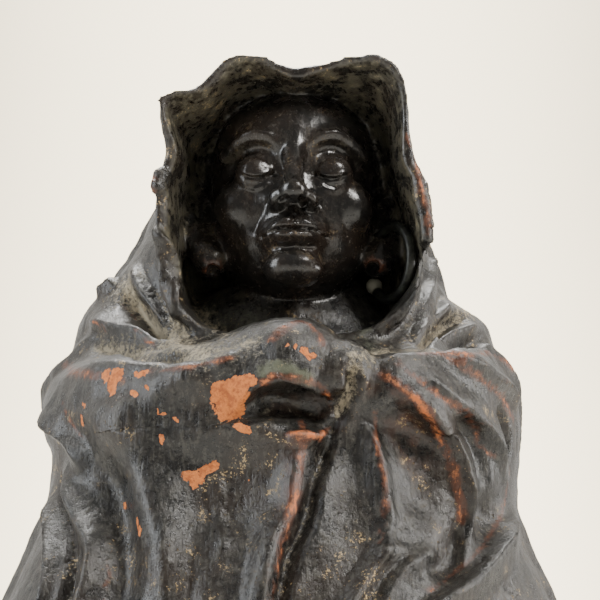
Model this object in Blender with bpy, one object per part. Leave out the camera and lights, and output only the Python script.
# A seated, hooded monk in fired clay with a dark lacquer skin, and the metal hoop in one ear lobe.
# The front faces -Y, the viewer's right is +X, and the figure stands on z = 0.
# The clay figure is one solid, modelled as a sculptor would: big masses are joined and smoothed, then
# the drapery is raised and cut along strokes on the surface, and the underside is cut off flat.

import math

import bmesh
import bpy
import numpy as np
from mathutils import Matrix, Vector, noise

# Driving sizes, in metres
HEIGHT = 0.2675  # underside to the highest lobe of the hood
BASE_HEIGHT = 0.008  # the low base moulded in one with the robe
BASE_SETBACK = 0.004  # how far the low base stands back under the hem
HOOD_THICKNESS = 0.0042  # the cloth at the hood's rim
LOBE_HOLE = 0.0050  # the bare hole in the broken end of each ear lobe
LOBE_HOLE_DEPTH = 0.010
HOOP_DIAMETER = 0.0262  # the earring, to the middle of its wire
HOOP_WIRE = 0.0036  # the wire's diameter
HOOP_BALL = 0.0060  # the ball that closes the hoop
HOOP_CLEARANCE = 0.0005  # all round the hoop, where it enters the lobe and lies by the hood
CLAY_GRAIN = 0.0019  # the size of the facets that the masses are joined with
MOST_TRIANGLES = 8700  # the figure's facets, before the holes are cut

# The figure's proportions are counted in parts of its height. At the real height a part is a millimetre.
PARTS_IN_HEIGHT = 267.5
PART = HEIGHT / PARTS_IN_HEIGHT
BASE = BASE_HEIGHT / PART

# The eye from which the front folds were drawn. A fold's points stand on an upright board through
# the figure's middle, and lie on the clay where the sight line through them meets it.
EYE = Vector((5.5, -785.0, 35.0)) * PART

# Horizontal sections of the body under its robe: height, half-width on the left and on the right,
# front and back, and how square the section is (2 is an ellipse)
ROBE_SECTIONS = (
    (BASE, 117, 115, -101, 83, 2.4),
    (BASE + 6, 123, 121, -107, 87, 2.4),
    (26, 124, 122, -109, 88, 2.4),
    (42, 116, 111, -107, 86, 2.4),
    (60, 105, 100.5, -102, 83, 2.4),
    (80, 96, 91.5, -96, 80, 2.4),
    (99, 88, 84.5, -90, 78, 2.4),
    (120, 84, 83.5, -85, 76, 2.4),
    (138, 84, 85, -81, 74, 2.4),
    (150, 83, 84, -75, 72, 2.4),
    (160, 80.5, 82, -60, 71, 2.3),
    (170, 78.5, 78, -49, 69, 2.2),
    (180, 76.5, 74, -44, 67, 2.2),
    (187, 71.5, 62, -44, 66, 2.2),
    (196, 63.5, 57, -44, 65, 2.3),
    (206, 56, 54, -44, 63.5, 2.3),
    (218, 50.5, 50, -42, 61, 2.2),
    (234, 42, 45, -34, 55, 2.0),
    (250, 28, 32, -20, 42, 2.0),
)

# The hood is drawn as outlines round its middle, from the rim back over the crown:
# depth, half-width, half-height, lift of the middle, and how strongly the rim's lobes show
HOOD_MIDDLE = (2, 213)
HOOD_OUTLINES = (
    (-51, 47.5, 51.0, 0, 1.0),
    (-47, 46.5, 50.5, 0, 0.9),
    (-38, 46, 50.5, 0, 0.6),
    (-24, 47, 52.0, 0, 0.42),
    (-6, 48.5, 54.0, 0, 0.3),
    (12, 48, 53.5, 0, 0.2),
    (28, 43, 49.0, -1, 0.1),
    (42, 36, 42.0, -3, 0.0),
    (53, 25, 32.0, -6, 0.0),
    (60, 12, 18.0, -10, 0.0),
)
# The rim's lobes, where the cloth is pushed out or drawn in: angle, height, spread and how far forward
HOOD_LOBES = (
    (55, 10.2, 16, 3),
    (88, -2.3, 8, -4),
    (109, 4.3, 15, 4),
    (141, 8.4, 8, 5),
    (157, -1.5, 8, -2),
    (-8, 2.5, 15, 1),
    (24, -2.5, 12, -2),
)
# The hollow round the head and before the chest: depth, half-width, half-height, lift
HOLLOW_OUTLINES = (
    (-84, 45.0, 52.0, 0),
    (-56, 44.0, 49.0, 0),
    (-49, 42.8, 46.8, 0),
    (-36, 40.5, 46.0, 0),
    (-14, 38.0, 44.5, 0),
    (4, 33.0, 39.0, 0),
    (16, 24.0, 28.0, 0),
)
HOOD_SQUARENESS = (2.4, 3.6)  # above and below its middle
# Room in the hollow for the hoop, seen from the front: angle, how much wider, and spread
HOLLOW_POCKET = (-27, 4.5, 15)

# The head: its middle, its tilt back in degrees, and its size
HEAD_MIDDLE = (3.4, -9.0, 221.0)
HEAD_TILT = 9.0
HEAD_SIZE = 1.11  # against the sizes below

# Masses of the face, a plain and calm one: each is a ball of the given middle and radii, in the
# tilted head's own directions (across, back, up) from its middle. Those off the middle are mirrored.
HEAD_BALLS = (
    ((0, 3, 8), (29.0, 34, 29.5)),
    ((0, -5, -9), (26.0, 26, 27.5)),
    ((0, -9, 14), (26.5, 25, 20.5)),
    ((16.5, -17, -8), (9.5, 10.5, 10)),
    ((0, -22.5, -19), (12, 10.0, 9.5)),
    ((0, -24.5, -31), (9.5, 7.8, 6.5)),
    ((12.0, -25.2, 1), (6.8, 6.6, 6.4)),
    ((0, -37.6, -9.5), (4.6, 4.9, 4.4)),
    ((5.4, -33.4, -11.0), (3.4, 4.2, 3.2)),
)
# Masses that run along a line, each point with its thickness: the nose's bridge, brow and lips
HEAD_LIMBS = (
    ((0, -31.0, 10, 3.6), (0, -33.0, 3, 3.3), (0, -36.0, -6, 3.8)),
    ((4.0, -31.0, 9.5, 2.6), (13, -30.0, 12.5, 3.0), (22.5, -22.0, 8.5, 2.4)),
    ((0, -32.0, -18.7, 1.9), (4, -31.6, -18.2, 2.1), (10, -27.6, -20.2, 1.2)),
    ((0, -31.8, -22.9, 2.5), (4, -31.2, -22.6, 2.3), (9, -27.6, -20.9, 1.3)),
)
# Creases of the face, by points (across, up) seen from straight before the tilted head, with the same
# sizes as the folds below. Each is mirrored.
FACE_FOLDS = (
    (-1.8, 4, 4, 0.0, ((5.5, 4), (9, 7), (14, 8), (19, 6), (22, 2))),
    (0.5, 2.5, 3, 0.0, ((7.0, -4.6), (10, -6.4), (14, -6.6), (18, -4.6))),
    (-1.2, 2, 2, 0.5, ((6.5, 0.5), (9.5, 2.4), (13, 2.8), (17, 1.4), (19, -0.4))),
    (-1.0, 3, 3, 0.0, ((7.0, -9), (10, -13), (12.4, -17), (13, -20))),
    (-1.0, 3, 3, 0.0, ((-1.4, -26.2), (0, -26.2), (4, -26.0), (8, -25.0))),
    (-1.2, 2, 2, 0.2, ((-1.4, -20.8), (0, -20.8), (4, -20.6), (9.4, -21.2))),
)
# The ears, with their long lobes: points along the ear, each with its thickness
EAR = ((28.5, 5, 12, 4.4), (31.0, 3, 4, 5.4), (31.0, -2, -6, 5.6), (30.2, -7, -15, 5.4), (27.4, -10, -23, 5.8))

# The bare holes in the lobes' broken ends, where they open
LOBE_HOLES = ((-25.5, -30, 193), (31.6, -30, 194.5))
# The hoop: its middle, how far it is turned from facing the front, and the angles round it at which
# it comes out of the lobe and ends in its ball
HOOP_MIDDLE = (38.0, -30.0, 195.7)
HOOP_TURN = math.radians(60)
HOOP_START = math.radians(142)
HOOP_END = math.radians(-150)

# Forearms under the cloth: points along the middle, each with its thickness
LEFT_ARM = ((-62, 14, 156, 20), (-67, -14, 143, 21), (-54, -48, 140, 20), (-27, -65, 141, 19), (-5, -71, 149, 18))
RIGHT_ARM = ((62, 14, 157, 20), (64, -12, 145, 20), (54, -48, 143, 19), (36, -65, 140, 18), (22, -69, 142, 13))
# The joined hands under the cloth, the crossed legs (each mirrored), and the chest and neck in the hood
HANDS = (((2, -71, 153.5), (19, 20, 15)), ((19, -75, 149), (11.5, 14, 11)), ((-14, -70, 149), (18, 18, 14)))
THIGH = ((38, 22, 58, 46), (60, -10, 48, 41), (76, -42, 37, 31))
SHIN = ((80, -48, 30, 27), (46, -72, 26, 25), (8, -80, 24, 24), (-14, -78, 24, 22))
CHEST = ((3, 4, 170), (47, 34, 28))
NECK = ((3.4, 8, 176, 25), (3.4, 4, 190, 23), (3.4, 0, 206, 20))

# Facets are closest together on the face: how far that reaches, and how little is taken off there
FINE_REACH = 36.0
FINE_WEIGHT = 0.9

# The front folds, by their points (across, up) on the board. Each has its height (below 0 is a
# groove), its reach to the left and to the right of the line as one walks along it on the clay, and
# how sharp its crest is, from 0, a soft roll, to 1, an edge.
FRONT_FOLDS = (
    # the crease between the hands and the right sleeve, and the sleeve's edge beside it
    (-5.5, 4, 5, 0.5, ((27, 166), (25, 158), (21, 150), (17, 141), (14, 131), (11, 121))),
    (2.5, 4, 5, 0.3, ((30, 163), (28, 154), (25, 146), (23, 138))),
    # rolls along the tops of the two sleeves
    (3.0, 5, 13, 0.3, ((-86, 160), (-75, 162), (-62, 163), (-50, 162), (-33, 162), (-18, 167), (-7, 172))),
    (3.2, 5, 13, 0.4, ((28, 163), (42, 165), (57, 166), (70, 167), (79, 166), (85, 160))),
    # the arched rim under the hands, the dark hollow below it, and the pinched cuff
    (4.8, 10, 3, 0.5, ((-20, 145), (-15, 152), (-8, 157), (2, 159), (12, 156), (20, 149))),
    (-5.5, 8, 8, 0.0, ((-13, 148), (-6, 149), (4, 149), (12, 147), (17, 145))),
    # the sleeve's face runs on into the robe below it
    (5.0, 12, 15, 0.0, ((-76, 143), (-62, 141), (-46, 140), (-30, 139), (-14, 138), (2, 137), (16, 137))),
    (5.0, 4, 5, 0.3, ((0, 135), (6, 136), (13, 137), (18, 141))),
    (3.5, 4, 4, 0.4, ((20, 160), (22, 153), (19, 146), (15, 141))),
    # the long ridge that hangs from the cuff, with its groove and a second ridge beside it
    (4.8, 5, 9, 0.5, ((7, 137), (5, 130), (3, 120), (2, 111), (-2, 102), (-5, 92), (-8, 76), (-13, 50))),
    (-2.8, 4, 4, 0.4, ((15, 133), (11, 124), (9, 115), (6, 104), (1, 94), (-3, 76), (-6, 52))),
    (3.0, 7, 4, 0.5, ((18, 130), (15, 118), (13, 106), (8, 93), (3, 76), (1, 50))),
    # a dark panel and a hanging fold right of the middle
    (-3.0, 9, 9, 0.0, ((27, 142), (25, 128), (23, 112), (21, 92))),
    (5.0, 4, 12, 0.6, ((28, 145), (32, 137), (35, 127), (37, 115), (38, 105), (36, 95), (33, 84))),
    # the sharp ridges that fan out over the right sleeve, with the deep hollow beside the first
    (6.8, 12, 5, 0.5, ((36, 160), (46, 151), (55, 141), (61, 131), (64, 120), (67, 108), (66, 94), (62, 82))),
    (-4.5, 14, 13, 0.0, ((34, 151), (43, 142), (49, 129), (51, 115), (47, 102))),
    (4.2, 10, 5, 0.6, ((44, 162), (54, 156), (62, 150), (69, 144), (74, 138), (78, 129), (79, 117))),
    (-3.0, 6, 6, 0.1, ((60, 146), (68, 138), (72, 128), (73, 116))),
    (4.0, 9, 5, 0.5, ((57, 165), (65, 163), (74, 159), (82, 153), (86, 145), (86, 134))),
    (-5.5, 5, 5, 0.2, ((78, 150), (81, 143), (82, 135), (81, 127))),
    # the long curve that sweeps in from the right side to the lap, and the folds inside it
    (6.5, 11, 5, 0.6, ((87, 128), (86, 117), (83, 107), (77, 97), (69, 86), (60, 79), (49, 72), (30, 63))),
    (-5.5, 12, 12, 0.0, ((77, 120), (72, 106), (62, 94), (50, 86))),
    (4.0, 5, 6, 0.5, ((67, 101), (58, 97), (50, 93), (43, 87), (37, 77), (34, 60))),
    (4.0, 4, 7, 0.5, ((47, 99), (36, 93), (28, 82), (22, 69), (18, 50))),
    # the left shoulder: a crest falling to the sleeve, and the dusty valleys round it
    (4.2, 9, 5, 0.5, ((-78, 182), (-66, 178), (-50, 173), (-36, 168))),
    (-4.0, 5, 5, 0.2, ((-72, 172), (-60, 169), (-46, 167), (-33, 165))),
    (-7.0, 6, 6, 0.2, ((-62, 192), (-56, 185), (-48, 177), (-41, 170))),
    (4.0, 4, 5, 0.5, ((-57, 203), (-53, 193), (-47, 182), (-41, 172))),
    (3.4, 5, 5, 0.4, ((-62, 196), (-69, 189), (-76, 184))),
    # the left lapel's turned edge
    (3.4, 3, 4, 0.6, ((-50, 220), (-48, 214), (-44, 208), (-42, 199), (-41, 188), (-40, 176))),
    # the left elbow and the upright folds below it
    (5.0, 8, 6, 0.4, ((-90, 150), (-86, 143), (-80, 138), (-75, 131), (-72, 121))),
    (4.0, 5, 6, 0.4, ((-87, 135), (-86, 124), (-85, 109), (-84, 95), (-86, 78), (-94, 56))),
    (5.0, 8, 6, 0.4, ((-80, 130), (-78, 118), (-74, 107), (-69, 96), (-70, 84), (-75, 68), (-84, 48))),
    (-4.0, 4, 4, 0.2, ((-83, 126), (-81, 111), (-78, 98), (-78, 83), (-84, 65))),
    (5.0, 17, 15, 0.2, ((-78, 153), (-66, 144), (-55, 131), (-49, 118), (-46, 103), (-45, 84), (-50, 58))),
    (-5.0, 12, 11, 0.0, ((-69, 132), (-63, 118), (-59, 103), (-59, 84), (-66, 62))),
    # shallow folds over the lap left of the middle
    (1.3, 3, 6, 0.5, ((-25, 128), (-24, 117), (-24, 109), (-22, 100), (-22, 84))),
    (-1.6, 6, 5, 0.2, ((-33, 107), (-34, 96), (-35, 80), (-40, 55))),
    (1.4, 6, 6, 0.2, ((-44, 110), (-42, 96), (-42, 80), (-46, 55))),
    (2.0, 7, 5, 0.3, ((-8, 112), (-8, 100), (-10, 88), (-13, 70), (-20, 46))),
    (-3.5, 18, 18, 0.0, ((-17, 140), (-20, 122), (-27, 98))),
    (3.0, 10, 10, 0.2, ((-26, 161), (-39, 155), (-52, 151), (-66, 149))),
    # the right shoulder's folds
    (4.0, 4, 5, 0.5, ((62, 187), (55, 181), (47, 170))),
    (-5.0, 4, 4, 0.3, ((70, 183), (59, 178), (50, 168))),
    (4.0, 4, 5, 0.5, ((76, 181), (66, 176), (58, 172), (50, 166))),
    (-3.5, 4, 4, 0.2, ((77, 175), (68, 172), (59, 168))),
    # the hood's rolled rim and the right lapel
    (2.6, 4, 6, 0.3, ((-47, 252), (-45, 247), (-46, 240), (-48, 230), (-49, 220))),
    (3.0, 5, 5, 0.4, ((47, 250), (49, 238), (51, 226), (53, 212), (54, 200), (52, 187), (46, 172))),
    (-2.5, 3, 3, 0.2, ((54, 215), (57, 203), (58, 194), (56, 184), (51, 174))),
)

# Folds on the sides and back, by the angle round from the front (+ is the viewer's right) and the
# height, with the same sizes as above
ROUND_FOLDS = (
    # the hood's fall behind the head
    (3.0, 8, 8, 0.3, ((150, 250), (140, 225), (128, 200), (120, 178), (112, 150))),
    (-3.0, 8, 8, 0.1, ((165, 250), (156, 225), (147, 200), (140, 176), (134, 150))),
    (3.0, 8, 8, 0.3, ((-150, 250), (-142, 226), (-131, 203), (-122, 182), (-113, 152))),
    (-3.0, 8, 8, 0.1, ((-165, 248), (-157, 224), (-149, 198), (-141, 172), (-136, 148))),
    # over the shoulders and down the sides
    (3.0, 7, 7, 0.3, ((62, 181), (78, 165), (92, 142), (97, 112), (94, 80), (90, 50), (88, 22))),
    (-3.2, 8, 8, 0.1, ((78, 150), (86, 125), (86, 96), (82, 66), (78, 34))),
    (3.0, 7, 7, 0.3, ((-64, 180), (-80, 163), (-95, 140), (-101, 112), (-97, 80), (-93, 48), (-92, 22))),
    (-3.2, 8, 8, 0.1, ((-84, 140), (-90, 112), (-88, 84), (-84, 54), (-83, 28))),
)
# Hanging swags across the back: the height of their ends and how far their middles sag
BACK_SWAGS = ((204, 22), (180, 34), (150, 42))
# Upright folds of the hem round the back and sides: angles, and how high each one starts
HEM_FOLDS = ((112, 92), (127, 72), (143, 98), (161, 66), (179, 86), (197, 68), (214, 100), (231, 74), (247, 92))
# Folds that spread from the lap to the hem: the angle at the top, the angle at the hem, and the top
LAP_FOLDS = ((-62, -66, 74), (-47, -52, 66), (-34, -40, 60), (22, 21, 58), (36, 40, 62), (50, 56, 70), (63, 69, 78))
LAP_FOLD_HEIGHT = 2.0
# Valleys between those folds
LAP_VALLEYS = ((-54, -59, 70), (-41, -46, 60), (-26, -30, 56), (29, 31, 58), (43, 48, 62), (57, 63, 70))


def smooth_through(points, count):
    """Points on a smooth curve through the given ones."""
    points = np.asarray(points, float)
    ends = np.vstack([2 * points[0] - points[1], points, 2 * points[-1] - points[-2]])
    place = np.linspace(0, len(points) - 1, count)
    start = np.minimum(place.astype(int), len(points) - 2)
    t = (place - start)[:, None]
    a, b, c, d = ends[start], ends[start + 1], ends[start + 2], ends[start + 3]
    return 0.5 * (2 * b + (c - a) * t + (2 * a - 5 * b + 4 * c - d) * t**2 + (3 * b - a - 3 * c + d) * t**3)


def rounded(angles, power):
    """Unit outline at the given angles: an ellipse at power 2, squarer above it."""
    cosine, sine = np.cos(angles), np.sin(angles)
    bend = 2.0 / power
    return np.sign(cosine) * np.abs(cosine) ** bend, np.sign(sine) * np.abs(sine) ** bend


def finished(shape, name="mass"):
    """The bmesh as a new object in the scene."""
    mesh = bpy.data.meshes.new(name)
    shape.to_mesh(mesh)
    shape.free()
    made = bpy.data.objects.new(name, mesh)
    bpy.context.scene.collection.objects.link(made)
    return made


def loft(rings):
    """A closed mesh through rings of equally many points, capped at both ends."""
    shape = bmesh.new()
    rows = [[shape.verts.new(point) for point in ring] for ring in rings]
    around = len(rows[0])
    for low, high in zip(rows, rows[1:]):
        for i in range(around):
            j = (i + 1) % around
            shape.faces.new((low[i], low[j], high[j], high[i]))
    shape.faces.new(rows[0])
    shape.faces.new(rows[-1])
    bmesh.ops.recalc_face_normals(shape, faces=shape.faces)
    return finished(shape)


def robe_ring(section, z, inset=0.0):
    """One horizontal outline of the robe at height z, drawn in by inset all round."""
    _, left, right, front, back, power = section
    across, along = rounded(np.linspace(0, 2 * math.pi, 72, endpoint=False), power)
    x = np.where(across < 0, across * (left - inset), across * (right - inset))
    y = (front + back) / 2 + along * ((back - front) / 2 - inset)
    return np.column_stack([x, y, np.full(len(x), z)]) * PART


def robe():
    """The body under its robe, from the hem up into the hood."""
    return loft([robe_ring(section, section[0]) for section in smooth_through(ROBE_SECTIONS, 64)])


def low_base():
    """The low base under the hem. It runs below z = 0, where the underside is cut."""
    setback = BASE_SETBACK / PART
    heights = (-BASE, 0, BASE / 2, BASE + 5)
    return loft([robe_ring(ROBE_SECTIONS[1], z, setback) for z in heights])


def lobe_share(degrees, middle, spread):
    """How much of a lobe there is at each angle."""
    away = (degrees - middle + 180) % 360 - 180
    return np.exp(-((away / spread) ** 2))


def lobes_at(degrees):
    """How far the hood's lobes stand out, and forward, at each angle."""
    out, forward = np.zeros(len(degrees)), np.zeros(len(degrees))
    for middle, height, spread, advance in HOOD_LOBES:
        share = lobe_share(degrees, middle, spread)
        out += height * share
        forward += advance * share
    return out, forward


def hood_ring(y, half_width, half_height, lift, strength, follow=1.0, pocket=0.0):
    """One upright outline of the hood, with the rim's lobes as far out as strength says."""
    angles = np.linspace(-math.pi, math.pi, 120, endpoint=False)
    power = np.where(angles < 0, HOOD_SQUARENESS[1], HOOD_SQUARENESS[0])
    across, up = np.abs(np.cos(angles) / half_width), np.abs(np.sin(angles) / half_height)
    out, forward = lobes_at(np.degrees(angles))
    reach = (across**power + up**power) ** (-1 / power) + strength * out
    reach += pocket * HOLLOW_POCKET[1] * lobe_share(np.degrees(angles), HOLLOW_POCKET[0], HOLLOW_POCKET[2])
    x = HOOD_MIDDLE[0] + reach * np.cos(angles)
    z = HOOD_MIDDLE[1] + lift + reach * np.sin(angles)
    return np.column_stack([x, y - strength * forward * follow, z]) * PART


def hood():
    """The cowl as a solid, from its rim back over the crown."""
    return loft([hood_ring(*outline) for outline in smooth_through(HOOD_OUTLINES, 32)])


def hollow():
    """The space inside the cowl: it follows the rim, a cloth's thickness inside it."""
    drawn_thickness = 4.2
    spare = drawn_thickness - HOOD_THICKNESS / PART
    rings = []
    for y, half_width, half_height, lift in smooth_through(HOLLOW_OUTLINES, 24):
        strength = min(1.0, max(0.2, -y / 50.0))
        rings.append(hood_ring(y, half_width + spare, half_height + spare, lift, strength, 0.0, strength))
    return loft(rings)


def ball(middle, radii, tilt=0.0):
    """An ellipsoid mass, tilted back about its own middle."""
    shape = bmesh.new()
    place = Matrix.Translation(Vector(middle) * PART) @ Matrix.Rotation(math.radians(-tilt), 4, "X")
    place = place @ Matrix.Diagonal((*[radius * PART for radius in radii], 1))
    bmesh.ops.create_icosphere(shape, subdivisions=4, radius=1, matrix=place)
    return finished(shape)


def limb(points):
    """A round-ended mass along a smooth curve, each point with its own thickness."""
    curve = bpy.data.curves.new("limb", "CURVE")
    curve.dimensions = "3D"
    curve.bevel_depth = PART
    curve.bevel_resolution = 6
    curve.use_fill_caps = True
    line = curve.splines.new("POLY")
    places = smooth_through(points, 20)
    line.points.add(len(places) - 1)
    for point, (x, y, z, radius) in zip(line.points, places):
        point.co = (x * PART, y * PART, z * PART, 1)
        point.radius = radius
    drawn = bpy.data.objects.new("limb", curve)
    bpy.context.scene.collection.objects.link(drawn)
    tube = as_mesh(drawn)
    ends = [ball(points[i][:3], [points[i][3]] * 3) for i in (0, -1)]
    return joined([tube, *ends])


def as_mesh(drawn):
    """A curve object, or one with modifiers, as a plain mesh object in its place."""
    bpy.context.view_layer.update()
    mesh = bpy.data.meshes.new_from_object(drawn.evaluated_get(bpy.context.evaluated_depsgraph_get()))
    name = drawn.name
    bpy.data.objects.remove(drawn)
    made = bpy.data.objects.new(name, mesh)
    bpy.context.scene.collection.objects.link(made)
    return made


def joined(objects):
    """Several objects' meshes in one object, without merging them."""
    whole = bmesh.new()
    for obj in objects:
        whole.from_mesh(obj.data)
        bpy.data.objects.remove(obj)
    return finished(whole)


def cut_from(obj, cutter):
    """The object with the cutter's space taken out of it. The cutter stays."""
    cut = obj.modifiers.new("cut", "BOOLEAN")
    cut.operation = "DIFFERENCE"
    cut.object = cutter
    return as_mesh(obj)


def fused(obj, grain, rounds):
    """Overlapping masses made one closed skin, then softened."""
    skin = obj.modifiers.new("skin", "REMESH")
    skin.mode = "VOXEL"
    skin.voxel_size = grain
    soft = obj.modifiers.new("soft", "SMOOTH")
    soft.factor = 0.5
    soft.iterations = rounds
    return as_mesh(obj)


def in_head(point):
    """A point given in the tilted head's directions, in the figure's parts."""
    turned = Matrix.Rotation(math.radians(-HEAD_TILT), 3, "X") @ (Vector(point) * HEAD_SIZE)
    return tuple(turned + Vector(HEAD_MIDDLE))


def mirrored(points):
    """The points on the head's right and, where they don't cross its middle, also on its left."""
    sides = [points]
    if max(abs(point[0]) for point in points) > 0:
        sides.append(tuple((-point[0], *point[1:]) for point in points))
    return sides


def head():
    """The head with its plain face and long-lobed ears."""
    masses = []
    for middle, radii in HEAD_BALLS:
        sizes = [radius * HEAD_SIZE for radius in radii]
        masses += [ball(in_head(side[0]), sizes, HEAD_TILT) for side in mirrored((middle,))]
    for points in (*HEAD_LIMBS, EAR):
        for side in mirrored(points):
            masses.append(limb([(*in_head(point[:3]), point[3] * HEAD_SIZE) for point in side]))
    return masses


def body():
    """The robe and the hood with its hollow, the arms, hands and knees under the cloth, and the chest."""
    inside = hollow()
    masses = [cut_from(robe(), inside), cut_from(hood(), inside), low_base()]
    bpy.data.objects.remove(inside)
    legs = [side for points in (THIGH, SHIN) for side in mirrored(points)]
    masses += [limb(points) for points in (LEFT_ARM, RIGHT_ARM, NECK, *legs)]
    masses += [ball(*mass) for mass in (*HANDS, CHEST)]
    return masses


class Skin:
    """The figure's skin while it is carved: its points, their outward directions, and what is added."""

    def __init__(self, obj):
        self.obj = obj
        count = len(obj.data.vertices)
        self.points = np.empty(count * 3, np.float32)
        obj.data.vertices.foreach_get("co", self.points)
        self.points = self.points.reshape(-1, 3).astype(float)
        self.normals = np.empty(count * 3, np.float32)
        obj.data.vertices.foreach_get("normal", self.normals)
        self.normals = self.normals.reshape(-1, 3).astype(float)
        self.raised = np.zeros(count)
        bpy.context.view_layer.update()

    def touched(self, start, direction):
        """Where a sight line first meets the clay, and which way the clay faces there."""
        hit, place, normal, _ = self.obj.ray_cast(start, direction)
        return (place, normal) if hit else None

    def seen(self, x, z):
        """The clay behind a point of the board, from the eye."""
        return self.touched(EYE, (Vector((x, 0, z)) * PART - EYE).normalized())

    def beside(self, angle, z):
        """The clay at an angle round from the front, and a height."""
        turn = math.radians(angle)
        away = Vector((math.sin(turn), -math.cos(turn), 0))
        return self.touched(away * HEIGHT * 2 + Vector((0, 0, z * PART)), -away)

    def before_head(self, across, up):
        """The clay of the face, seen from straight before the tilted head."""
        start = Vector(in_head((across, -60, up))) * PART
        return self.touched(start, (Vector(in_head((across, 0, up))) * PART - start).normalized())

    def fold(self, find, height, left, right, crest, points, taper=0.25):
        """Raises a fold, or cuts a groove, along a line on the clay."""
        found = [find(*point) for point in smooth_through(points, 8 * len(points))]
        found = [place for place in found if place]
        if len(found) < 3:
            return
        line = np.array([place for place, _ in found])
        facing = np.array([normal for _, normal in found])
        reach = max(left, right) * PART
        near = np.all((self.points > line.min(0) - reach) & (self.points < line.max(0) + reach), axis=1)
        near = np.flatnonzero(near)
        if not len(near):
            return
        share, gap = raised_profile(self.points[near], line, facing, left * PART, right * PART, crest, taper)
        # a fold stays on the side of a thin edge that it was drawn on
        agree = np.einsum("ij,ij->i", self.normals[near], facing[gap])
        self.raised[near] += height * PART * share * np.clip(agree * 2 + 0.4, 0, 1)

    def settle(self):
        """Moves the clay by what was raised and cut."""
        moved = self.points + self.normals * self.raised[:, None]
        self.obj.data.vertices.foreach_set("co", moved.astype(np.float32).ravel())
        self.obj.data.update()


def raised_profile(points, line, facing, left, right, crest, taper):
    """How much of a fold's height each point takes, and which place of the line is nearest to it."""
    starts, steps = line[:-1], line[1:] - line[:-1]
    lengths = np.maximum(np.einsum("ij,ij->i", steps, steps), 1e-12)
    away = points[:, None] - starts[None]
    along = np.clip(np.einsum("ijk,jk->ij", away, steps) / lengths, 0, 1)
    gaps = away - along[..., None] * steps
    distance = np.einsum("ijk,ijk->ij", gaps, gaps)
    nearest = distance.argmin(1)
    row = np.arange(len(points))
    gap, distance = gaps[row, nearest], np.sqrt(distance[row, nearest])
    side = np.einsum("ij,ij->i", np.cross(steps[nearest], facing[nearest]), gap)
    far = np.clip(distance / np.where(side > 0, right, left), 0, 1)
    share = (1 - crest) * (1 - 3 * far**2 + 2 * far**3) + crest * (1 - far) ** 2
    travel = (nearest + along[row, nearest]) / len(steps)
    ends = np.clip(np.minimum(travel, 1 - travel) / taper, 0, 1)
    return share * ends * ends * (3 - 2 * ends), nearest


def drape(skin):
    """Carves all the folds of the robe."""
    for height, left, right, crest, points in FRONT_FOLDS:
        skin.fold(skin.seen, height, left, right, crest, points)
    for height, left, right, crest, points in ROUND_FOLDS:
        skin.fold(skin.beside, height, left, right, crest, points)
    for ends, sag in BACK_SWAGS:
        swag = [(180 + turn, ends - sag * (1 - (turn / 62) ** 2)) for turn in range(-62, 63, 31)]
        skin.fold(skin.beside, 4.2, 6, 17, 0.3, swag)
    for angle, top in HEM_FOLDS:
        run = [(angle + 3 * math.sin(angle + z), z) for z in np.linspace(top, BASE, 5)]
        skin.fold(skin.beside, 3.0, 7, 8, 0.3, run, 0.4)
    for folds, height, reach in ((LAP_FOLDS, LAP_FOLD_HEIGHT, 7), (LAP_VALLEYS, -LAP_FOLD_HEIGHT, 7)):
        for high, low, top in folds:
            run = [(high + (low - high) * share, top + (BASE + 2 - top) * share) for share in (0, 0.4, 0.75, 1)]
            skin.fold(skin.beside, height, reach, reach + 2, 0.3, run, 0.35)


def model_face(skin):
    """Presses the creases of the face."""
    for height, left, right, crest, points in FACE_FOLDS:
        for side in mirrored(points):
            skin.fold(skin.before_head, height, left, right, crest, side)


def roughen(skin):
    """The slight unevenness of hand-pressed clay."""
    for i, point in enumerate(skin.points):
        place = Vector(point) / PART
        skin.raised[i] += PART * (0.9 * noise.noise(place / 23) + 0.4 * noise.noise(place / 9))


def figure_skin(grain=CLAY_GRAIN):
    """The whole figure with its drapery, as one fine skin that still runs below the base."""
    masses = body() + head()
    obj = fused(joined(masses), grain, round(4 * (CLAY_GRAIN / grain) ** 2))
    skin = Skin(obj)
    drape(skin)
    model_face(skin)
    roughen(skin)
    skin.settle()
    return obj


def hoop_ring(turn, radius):
    """A small circle across the hoop's wire, at an angle round the hoop."""
    out = Vector((math.cos(HOOP_TURN), -math.sin(HOOP_TURN), 0))
    across = Vector((math.sin(HOOP_TURN), math.cos(HOOP_TURN), 0))
    away = out * math.cos(turn) + Vector((0, 0, math.sin(turn)))
    middle = Vector(HOOP_MIDDLE) * PART + away * HOOP_DIAMETER / 2
    sides = [math.radians(side) for side in range(0, 360, 40)]
    return [middle + (away * math.cos(side) + across * math.sin(side)) * radius for side in sides]


def hoop(spare=0.0):
    """The open hoop with its ball end, or, with some spare, the room that it takes in the clay."""
    wire, bead = HOOP_WIRE / 2 + spare, HOOP_BALL / 2 + spare
    half = HOOP_DIAMETER / 2
    start, end = HOOP_START + spare / half, HOOP_END
    bulge = math.sqrt(bead**2 - wire**2) / half
    rings = [hoop_ring(start + (end + bulge - start) * share, wire) for share in np.linspace(0, 1, 30)]
    for swing in np.linspace(math.asin(wire / bead), math.pi - 0.25, 7)[1:]:
        rings.append(hoop_ring(end + bead * math.cos(swing) / half, bead * math.sin(swing)))
    return loft(rings)


def bored(obj, middle, across, depth):
    """The object with a round hole bored back into it."""
    shape = bmesh.new()
    place = Matrix.Translation(Vector(middle) * PART) @ Matrix.Rotation(math.radians(90), 4, "X")
    bmesh.ops.create_cone(
        shape, cap_ends=True, segments=12, radius1=across / 2, radius2=across / 2, depth=2 * depth, matrix=place
    )
    drill = finished(shape)
    bored_obj = cut_from(obj, drill)
    bpy.data.objects.remove(drill)
    return bored_obj


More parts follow.
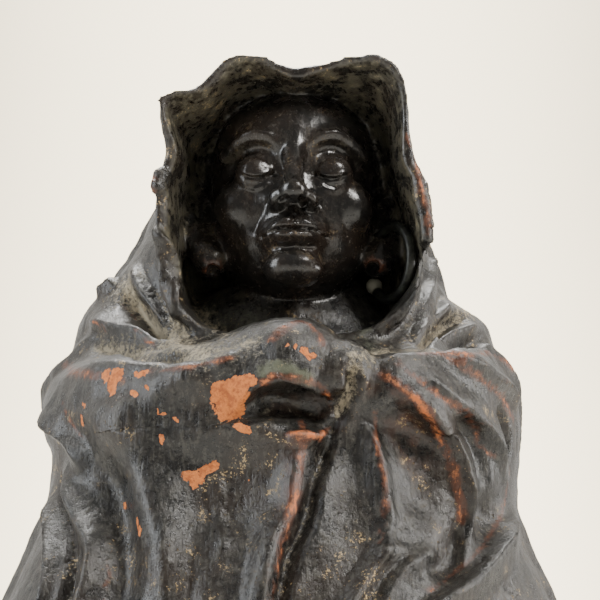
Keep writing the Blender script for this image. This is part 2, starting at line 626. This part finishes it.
def thinned(obj, triangles):
    """The object with at most this many triangles, closest together on the face."""
    face = Vector(in_head((0, -26, -2))) * PART
    group = obj.vertex_groups.new(name="plain")
    for vertex in obj.data.vertices:
        away = (vertex.co - face).length / (FINE_REACH * PART)
        group.add([vertex.index], min(1.0, max(FINE_WEIGHT, away)), "REPLACE")
    thin = obj.modifiers.new("thin", "DECIMATE")
    thin.vertex_group = group.name
    thin.ratio = min(1.0, triangles / (2 * len(obj.data.polygons)))
    return as_mesh(obj)


def without_crumbs(obj):
    """Drops the loose crumbs that a cut can leave, keeping the one large solid."""
    shape = bmesh.new()
    shape.from_mesh(obj.data)
    islands, left = [], set(shape.verts)
    while left:
        island, edge_of_island = set(), {left.pop()}
        while edge_of_island:
            island |= edge_of_island
            near = {edge.other_vert(vert) for vert in edge_of_island for edge in vert.link_edges}
            edge_of_island = near - island
        left -= island
        islands.append(island)
    largest = max(islands, key=len)
    crumbs = [vert for island in islands if island is not largest for vert in island]
    bmesh.ops.delete(shape, geom=crumbs, context="VERTS")
    shape.to_mesh(obj.data)
    shape.free()


def cut_flat(obj):
    """Cuts the object off at z = 0 and closes it with a flat underside."""
    shape = bmesh.new()
    shape.from_mesh(obj.data)
    everything = [*shape.verts, *shape.edges, *shape.faces]
    bmesh.ops.bisect_plane(shape, geom=everything, plane_co=(0, 0, 0), plane_no=(0, 0, 1), clear_inner=True)
    rim = [edge for edge in shape.edges if edge.is_boundary]
    bmesh.ops.triangle_fill(shape, edges=rim, use_beauty=True)
    bmesh.ops.triangulate(shape, faces=shape.faces)
    bmesh.ops.recalc_face_normals(shape, faces=shape.faces)
    shape.to_mesh(obj.data)
    shape.free()


def robed_figure():
    """The clay figure at its final facets, with the holes in its lobes and room for the hoop."""
    obj = thinned(figure_skin(), MOST_TRIANGLES)
    room = hoop(HOOP_CLEARANCE)
    obj = cut_from(obj, room)
    bpy.data.objects.remove(room)
    for middle in LOBE_HOLES:
        obj = bored(obj, middle, LOBE_HOLE, LOBE_HOLE_DEPTH)
    cut_flat(obj)
    without_crumbs(obj)
    return obj


def centred(objects):
    """Moves the objects together so that their box stands on the origin."""
    corners = np.array([corner for obj in objects for corner in obj.bound_box])
    middle = (corners.min(0) + corners.max(0)) / 2
    for obj in objects:
        obj.data.transform(Matrix.Translation((-middle[0], -middle[1], 0)))


def painted(obj, name, colour, metallic, roughness):
    """Names the object and gives it its material."""
    obj.name = name
    material = bpy.data.materials.new(name)
    material.use_nodes = True
    surface = material.node_tree.nodes["Principled BSDF"]
    surface.inputs["Base Color"].default_value = (*colour, 1)
    surface.inputs["Metallic"].default_value = metallic
    surface.inputs["Roughness"].default_value = roughness
    obj.data.materials.append(material)


def clear_scene():
    for obj in list(bpy.data.objects):
        bpy.data.objects.remove(obj)


def main():
    clear_scene()
    figure, earring = robed_figure(), hoop()
    centred([figure, earring])
    painted(figure, "robed_figure", (0.030, 0.020, 0.014), 0.0, 0.35)
    painted(earring, "hoop_earring", (0.085, 0.090, 0.075), 1.0, 0.45)


if __name__ == "__main__":
    main()
